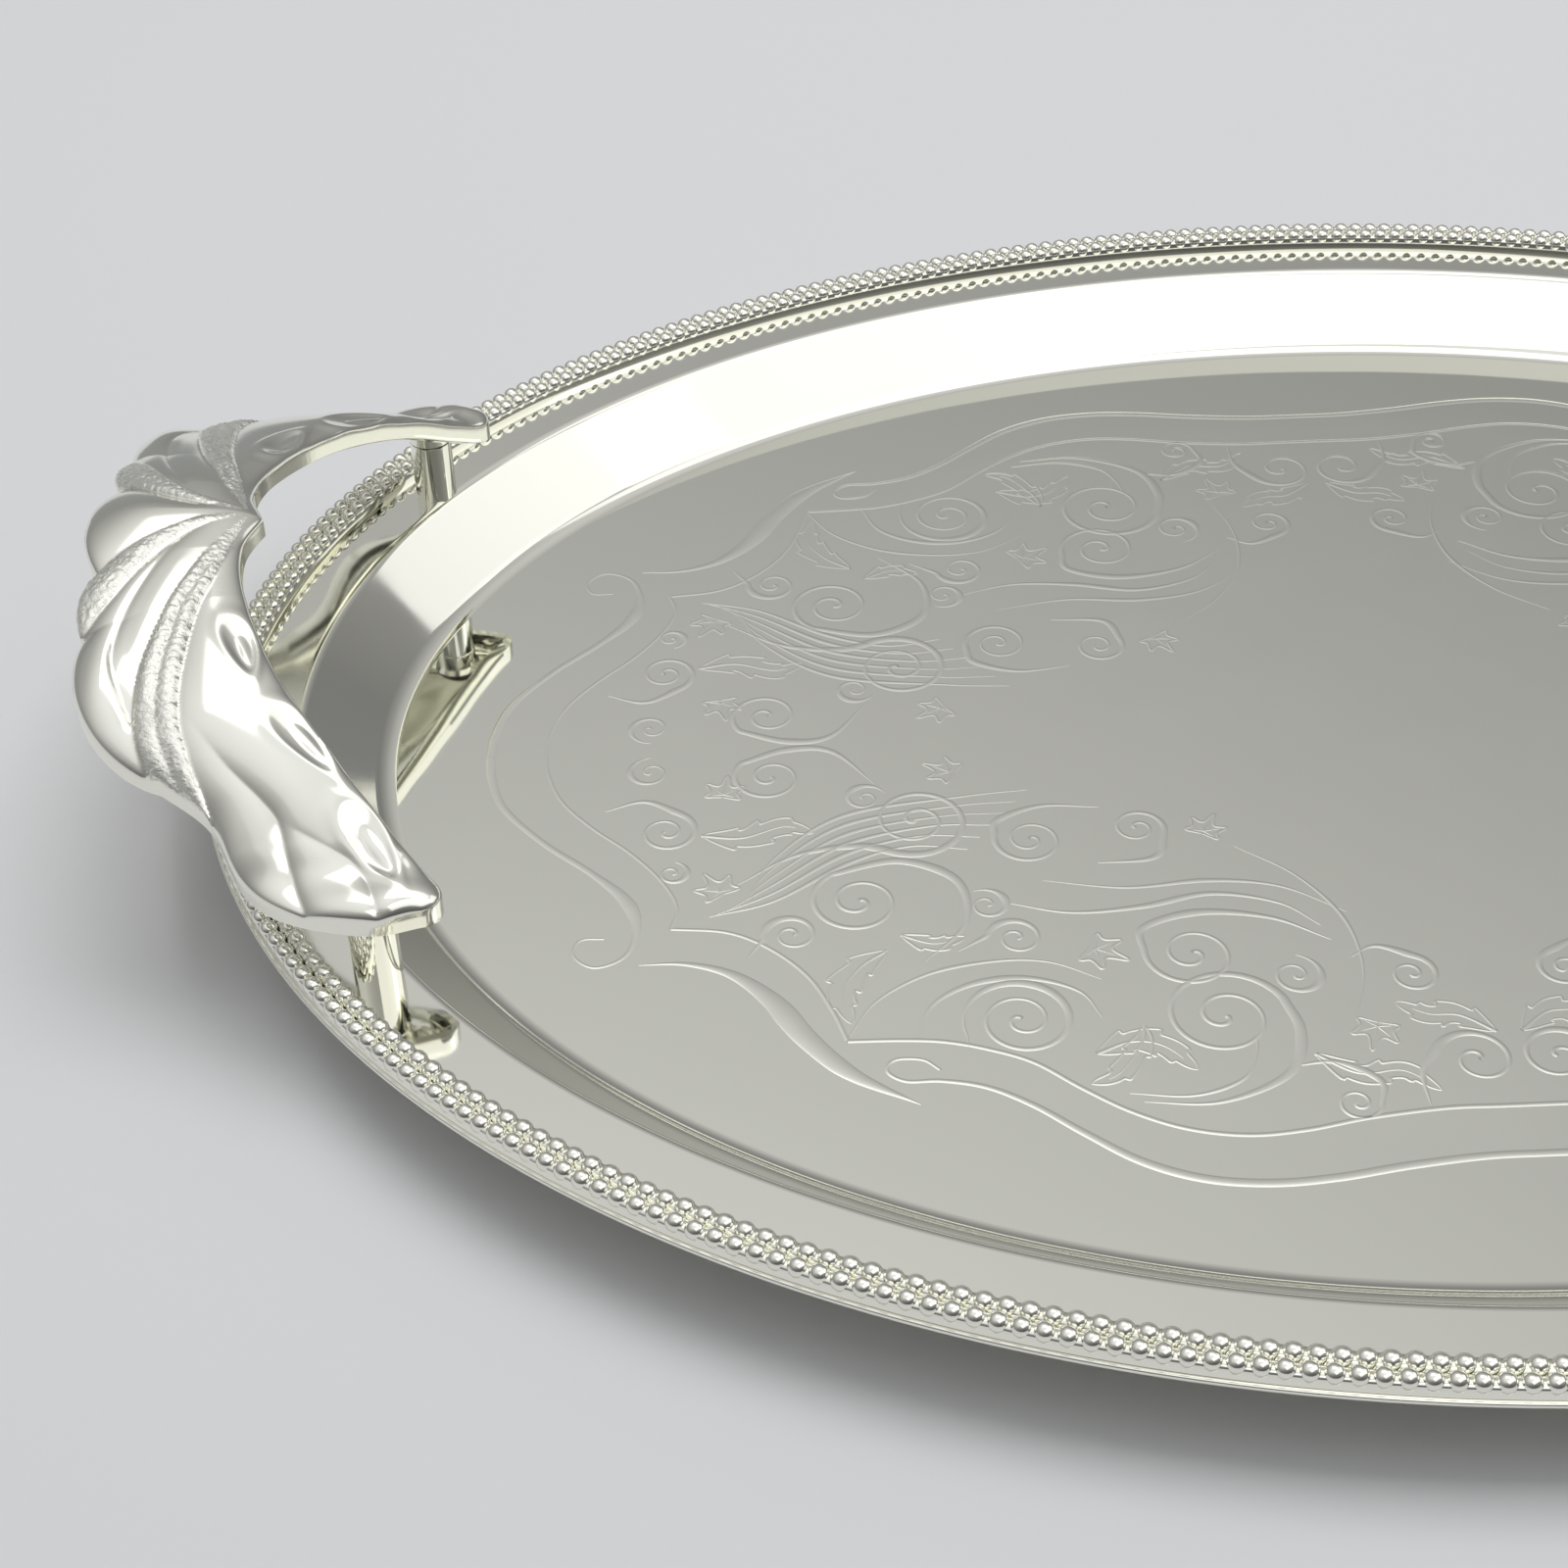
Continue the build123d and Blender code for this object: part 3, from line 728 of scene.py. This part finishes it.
def scroll_pattern():
    """The arches, scrolls and blades inside the frame."""
    p = Pattern()
    # Arches and scrolls along the front and the back border.
    p.stroke([(-105.0, -76.0), (-100.0, -68.0), (-91.0, -62.0), (-80.0, -59.6), (-71.0, -60.4),
              (-63.0, -65.0)], swelling(0.5, 1.0, 0.2))
    p.stroke([(-94.0, -77.0), (-91.0, -69.4), (-84.0, -64.8), (-75.0, -64.0), (-67.0, -67.6),
              (-64.0, -74.0)], swelling(0.5, 1.6, 0.3))
    p.spiral((-77.0, -73.6), 9.4, 2.3, 200, -1, 0.9, tail=[(-86.0, -80.0)])
    p.spiral((-44.4, -74.6), 10.4, 1.9, 20, 1, 1.0,
             tail=[(-60.0, -93.0), (-48.0, -93.6), (-36.4, -88.0), (-33.0, -79.0)])
    p.stroke([(-62.0, -91.0), (-52.0, -92.0), (-44.0, -89.0), (-41.0, -84.0), (-40.0, -79.0)],
             swelling(0.2, 0.9, 0.3))
    p.spiral((-47.4, -59.6), 7.6, 1.7, 175, 1, 0.9,
             tail=[(-24.0, -57.6), (-33.0, -51.6), (-45.0, -49.6), (-54.6, -53.0)])
    p.stroke([(-76.0, -45.6), (-66.0, -48.4), (-54.0, -47.6), (-42.0, -45.0), (-31.0, -48.0),
              (-25.0, -54.0)], swelling(0.2, 1.5, 0.2))
    p.stroke([(-70.0, -40.0), (-56.0, -42.6), (-42.0, -41.6), (-30.0, -43.8), (-20.0, -51.0)],
             swelling(0.2, 1.3, 0.2))
    p.spiral((-31.4, -65.8), 4.6, 1.6, 80, -1, 0.8)
    p.stroke([(-36.0, -33.0), (-27.0, -41.0), (-21.0, -52.0), (-20.0, -64.0), (-23.0, -75.0)],
             swelling(0.2, 0.9, 0.2))
    p.spiral((-27.0, -95.0), 3.4, 1.5, 350, -1, 0.8, tail=[(-36.0, -86.6), (-28.6, -86.0), (-22.6, -90.4)])
    p.spiral((-12.6, -66.6), 4.2, 1.5, 65, -1, 0.8, tail=[(-21.6, -62.0), (-17.0, -59.6)])
    p.spiral((-6.4, -86.6), 6.2, 1.4, 145, -1, 0.9, tail=[(-16.0, -96.4), (-15.6, -89.0)])
    # Scrolls towards the ends.
    p.spiral((-101.6, -43.4), 8.0, 1.8, 125, 1, 1.0,
             tail=[(-92.0, -59.6), (-84.0, -50.0), (-84.6, -39.0), (-94.0, -33.4), (-105.0, -36.0)])
    p.spiral((-80.0, -45.6), 3.8, 1.5, 120, -1, 0.8)
    p.spiral((-113.2, -51.2), 4.6, 1.6, 190, -1, 0.9, tail=[(-121.0, -57.0)])
    p.spiral((-75.9, -54.2), 4.6, 1.6, 170, -1, 0.8, tail=[(-86.0, -57.0)])
    p.spiral((-115.6, -9.0), 6.4, 1.6, 140, 1, 0.9, tail=[(-97.0, -12.0), (-104.0, -2.4), (-112.0, -1.2)])
    p.spiral((-90.4, -22.6), 9.2, 2.0, 250, 1, 1.0,
             tail=[(-122.0, -38.0), (-112.0, -31.0), (-101.0, -29.0)])
    p.spiral((-134.2, -23.2), 5.2, 1.7, 60, -1, 0.8, tail=[(-145.0, -17.0), (-138.0, -14.6)])
    p.spiral((-133.2, -34.4), 2.8, 1.4, 80, -1, 0.7)
    p.spiral((-99.0, -16.0), 3.6, 1.5, 20, 1, 0.8)
    p.spiral((-137.0, -6.4), 4.0, 1.5, 90, 1, 0.7)
    p.spiral((-71.0, -29.0), 6.0, 1.8, 165, 1, 0.8, tail=[(-58.0, -21.0), (-68.0, -20.0), (-76.0, -23.4)])
    p.spiral((-52.0, -27.0), 4.6, 1.6, 340, 1, 0.8, tail=[(-60.0, -36.0), (-50.0, -35.0)])
    # The sweep of long blades, each lying further in than the one before.
    for k in range(6):
        lift = 2.6 * k
        p.stroke([(-127.0 + 1.4 * k, -46.0 + 0.6 * k), (-116.0, -42.6 + lift * 0.8), (-103.0, -33.6 + lift),
                  (-92.0 + 2 * k, -29.6 + lift), (-82.0 + 2.4 * k, -31.0 + lift * 1.2)],
                 swelling(0.2, 1.2, 0.2))
    p.finish("floor_scroll_relief")


def leaf_pattern():
    """Small ivy leaves and toothed fronds between the scrolls."""
    p = Pattern()
    for centre, size, heading in (((-20.6, -78.4), 5.8, 250), ((-125.0, -39.6), 5.6, 120),
                                  ((-124.0, -13.4), 5.4, 80), ((-63.2, -57.6), 6.2, 330),
                                  ((-40.6, -28.6), 5.2, 60), ((-83.4, -9.4), 5.4, 150)):
        p.leaf(centre, size, heading)
    for spine, width, teeth in (
            ([(-66.0, -82.0), (-60.0, -79.6), (-55.0, -81.0), (-50.6, -86.4)], 3.4, 4),
            ([(-57.6, -76.0), (-58.6, -80.0), (-63.0, -86.6), (-67.6, -88.6)], 2.6, 3),
            ([(-2.0, -80.6), (-7.0, -76.6), (-12.0, -76.0), (-16.6, -73.0)], 3.2, 4),
            ([(-31.6, -84.0), (-25.6, -88.6), (-18.6, -88.4), (-13.6, -93.0)], 2.8, 4),
            ([(-97.6, -56.0), (-102.4, -60.0), (-105.6, -66.0), (-104.4, -73.0)], 3.4, 4),
            ([(-128.0, -24.6), (-121.0, -25.6), (-113.6, -23.0), (-108.4, -25.0)], 3.6, 4),
            ([(-95.0, -52.4), (-89.6, -54.8), (-84.4, -53.4)], 2.2, 3)):
        p.frond(spine, width, teeth)
    p.finish("floor_leaf_relief")


make_pan()
bead_row("bead_row_outer", OUTER_BEAD_INSET, "outer_bead_wire")
bead_row("bead_row_inner", INNER_BEAD_INSET, "inner_bead_wire")
make_handle("handle_casting_left", -1, "handle_left")
make_handle("handle_casting_right", 1, "handle_right")
border_pattern()
scroll_pattern()
leaf_pattern()

# ---------------------------------------------------------------- CAD parts that are shown as they are
for node_name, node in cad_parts.items():
    if node.hide_render:
        continue
    material = turned if node_name.startswith("pillar") else steel
    node.data.materials.clear()
    node.data.materials.append(material)

# ---------------------------------------------------------------- table and light, in metres
TABLE_HALF, TABLE_DROP = 4.0, 0.0001  # the drop keeps the table clear of the tray's underside
TABLE_COLOUR, TABLE_ROUGHNESS = (0.71, 0.715, 0.72), 0.6


def make_table():
    """A large white table top, which is only a stage."""
    material = bpy.data.materials.new("table_white")
    material.use_nodes = True
    shader = material.node_tree.nodes["Principled BSDF"]
    shader.inputs["Base Color"].default_value = (*TABLE_COLOUR, 1)
    shader.inputs["Roughness"].default_value = TABLE_ROUGHNESS
    mesh = bpy.data.meshes.new("table_top")
    corners = [(x * TABLE_HALF, y * TABLE_HALF, 0) for x, y in ((-1, -1), (1, -1), (1, 1), (-1, 1))]
    mesh.from_pydata(corners, [], [(0, 1, 2, 3)])
    mesh.materials.append(material)
    panel = bpy.data.objects.new("table_top", mesh)
    panel.location = (0, 0, -TABLE_DROP)
    bpy.context.scene.collection.objects.link(panel)


def soft_light(name, place, size, watts):
    """A rectangular area light that faces the tray's middle."""
    data = bpy.data.lights.new(name, "AREA")
    data.shape = "RECTANGLE"
    data.size, data.size_y = size
    data.energy = watts
    lamp = bpy.data.objects.new(name, data)
    lamp.location = place
    lamp.rotation_euler = (-Vector(place)).to_track_quat("-Z", "Y").to_euler()
    bpy.context.scene.collection.objects.link(lamp)
    return lamp


def make_room():
    """The world that the silver mirrors: grey walls that grow lighter towards the ceiling."""
    room = bpy.data.worlds.new("studio")
    bpy.context.scene.world = room
    room.use_nodes = True
    tree = room.node_tree
    look = add_node(tree, "TexCoord", {}).outputs["Generated"]
    split = add_node(tree, "SeparateXYZ", {"Vector": look}).outputs

    walls = add_node(tree, "ValToRGB", {"Fac": split["Z"]})
    stops = walls.color_ramp.elements
    stops[0].color = (0.30, 0.31, 0.32, 1)
    stops[1].color = (0.95, 0.96, 0.98, 1)
    for height, grey in ((0.25, 0.28), (0.5, 0.415), (0.62, 0.525), (0.75, 0.67)):
        stops.new(height).color = (grey, grey, grey * 1.01, 1)

    # Darker behind the camera, but not overhead, and a little brighter on the left than on the right.
    behind = remap(tree, split["Y"], (-0.95, -0.30), (0.42, 1.0))
    overhead = remap(tree, split["Z"], (0.55, 0.8))
    slant = remap(tree, split["X"], (-0.1, 0.45), (1.16, 0.88))
    level = calculate(tree, "MULTIPLY", calculate(tree, "MAXIMUM", behind, overhead), slant)
    shade = add_node(tree, "Mix", {"Factor": 1.0, "A": walls.outputs["Color"], "B": level},
                     data_type="RGBA", blend_type="MULTIPLY")
    background = tree.nodes["Background"]
    tree.links.new(shade.outputs["Result"], background.inputs["Color"])
    background.inputs["Strength"].default_value = 0.81


make_table()
make_room()

# The key light makes the shadow; the softboxes only show as reflections in the silver. Power in watts.
soft_light("key_overhead", (0.0, 0.45, 1.5), (1.3, 0.9), 12.2).visible_glossy = False
for name, place, size, watts in (("softbox_above", (0.1, 0.35, 1.5), (1.5, 0.9), 2.2),
                                 ("softbox_front", (0.55, -0.65, 1.3), (1.9, 0.9), 3.4),
                                 ("softbox_right", (1.5, 0.25, 1.15), (1.5, 1.0), 3.2)):
    soft_light(name, place, size, watts).visible_diffuse = False

# ---------------------------------------------------------------- camera
# Fitted to the tray's rim, floor, beads and handle in the photograph.
CAMERA_PLACE = (-119.5, -381.3, 300.6)
YAW, PITCH, ROLL = math.radians(0.988), math.radians(38.98), math.radians(-1.612)
FOCAL_LENGTH, SENSOR_WIDTH = 61.14, 36.0
forward = Vector((math.sin(YAW) * math.cos(PITCH), math.cos(YAW) * math.cos(PITCH), -math.sin(PITCH)))
level = Vector((math.cos(YAW), -math.sin(YAW), 0))
upright = level.cross(forward)
right = level * math.cos(ROLL) + upright * math.sin(ROLL)
up = upright * math.cos(ROLL) - level * math.sin(ROLL)
lens = bpy.data.cameras.new("photo_camera")
lens.lens = FOCAL_LENGTH
lens.sensor_width = SENSOR_WIDTH
lens.clip_start, lens.clip_end = 0.01, 50
camera = bpy.data.objects.new("photo_camera", lens)
camera.matrix_world = Matrix.Translation(Vector(CAMERA_PLACE) * MM) @ Matrix(
    (right, up, -forward)).transposed().to_4x4()
bpy.context.scene.collection.objects.link(camera)
bpy.context.scene.camera = camera
bpy.context.scene.view_settings.view_transform = "Standard"
